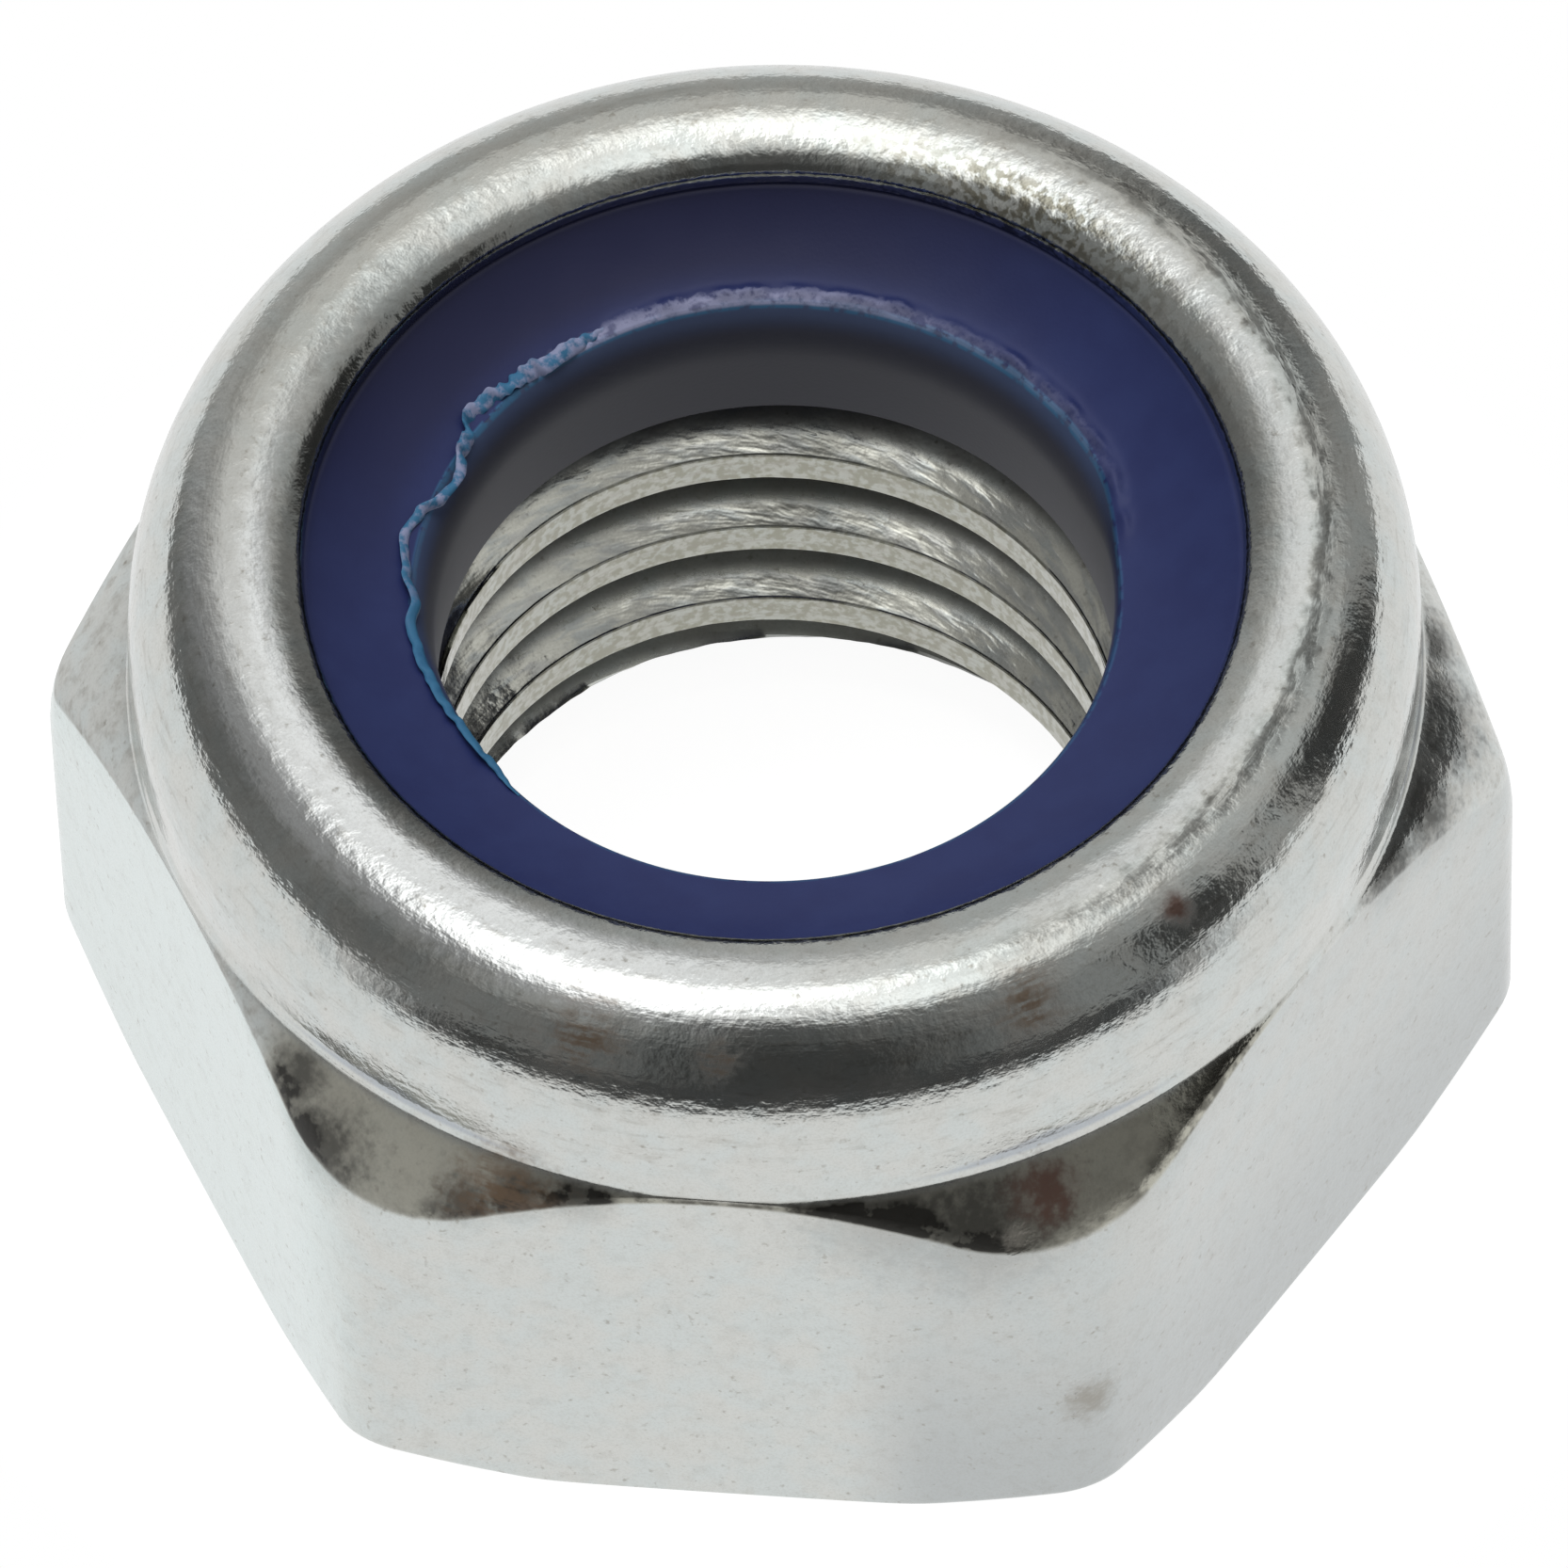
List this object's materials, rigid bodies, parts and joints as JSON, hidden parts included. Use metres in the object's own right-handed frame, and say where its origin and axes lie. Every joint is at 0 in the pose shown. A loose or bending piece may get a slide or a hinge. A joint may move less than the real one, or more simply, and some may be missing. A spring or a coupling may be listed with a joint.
{
  "type": "nylon insert lock nut",
  "caption": "Hexagon lock nut with a rolled collar that holds a dark blue nylon insert over the thread.",
  "frame": {"origin": "centre of the bearing face, on the thread axis", "axes": "+Z along the thread axis from the bearing face to the insert, +X through the middle of a flat, +Y through a corner"},
  "size_m": [0.013, 0.0148, 0.0075],
  "materials": {
    "zinc_plated_steel": "bright zinc plating with fine specks and scratches",
    "blue_nylon": "smooth dark blue nylon"
  },
  "bodies": {
    "root": {"nut_body": "zinc_plated_steel", "nylon_insert": "blue_nylon"}
  },
  "joints": []
}
